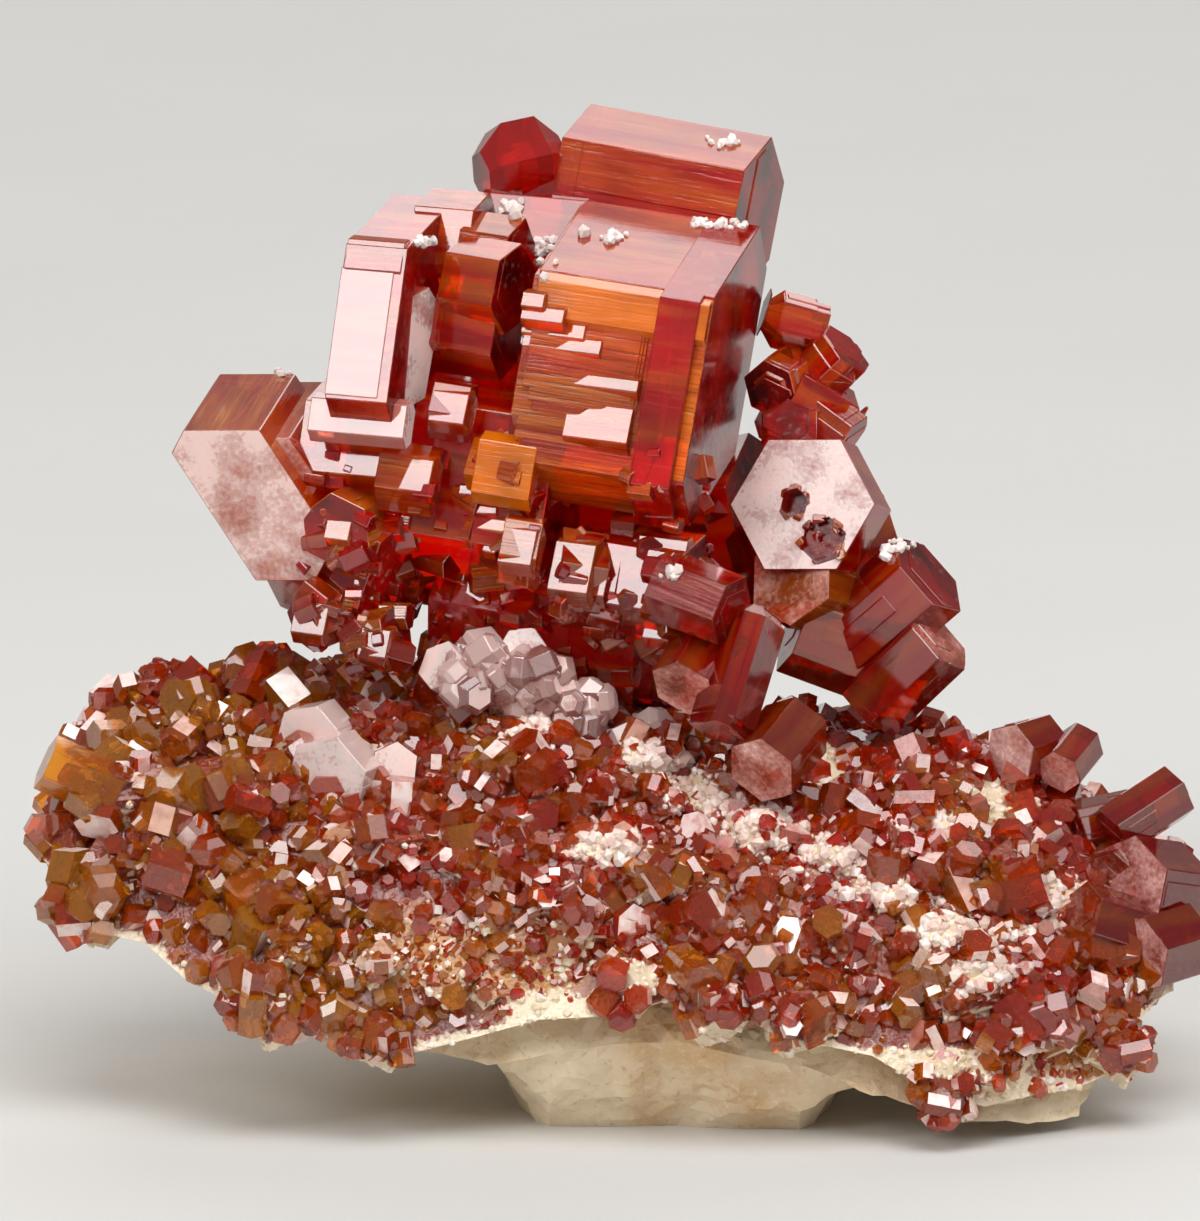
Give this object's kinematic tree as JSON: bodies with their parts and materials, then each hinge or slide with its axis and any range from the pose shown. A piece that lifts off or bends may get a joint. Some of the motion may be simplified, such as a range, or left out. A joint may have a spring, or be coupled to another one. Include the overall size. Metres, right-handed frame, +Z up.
{
  "type": "vanadinite crystals on matrix",
  "caption": "Mineral specimen: translucent red six-sided vanadinite prisms and plates standing on a cream rock crusted with small orange-brown crystals.",
  "frame": {"origin": "on the floor below the middle of the bounding box", "axes": "+Z up, +X to the right along the specimen's length as seen from its display side, -Y towards the viewer"},
  "size_m": [0.0492, 0.0288, 0.0396],
  "materials": {
    "cream_matrix_rock": "rough broken rock, cream to yellow",
    "orange_brown_vanadinite": "small glossy orange-brown crystals",
    "deep_red_vanadinite": "glossy translucent deep red, pale where lit",
    "pale_pink_vanadinite": "frosted pale pink crystal"
  },
  "bodies": {
    "root": {"matrix_rock": "cream_matrix_rock", "crystal_crust": "orange_brown_vanadinite", "summit_cluster": "deep_red_vanadinite", "right_cluster": "deep_red_vanadinite", "front_cluster": "deep_red_vanadinite", "left_plates": "pale_pink_vanadinite", "pale_cluster": "pale_pink_vanadinite", "right_plates": "deep_red_vanadinite", "right_prisms": "deep_red_vanadinite", "end_plates": "deep_red_vanadinite"}
  },
  "joints": []
}
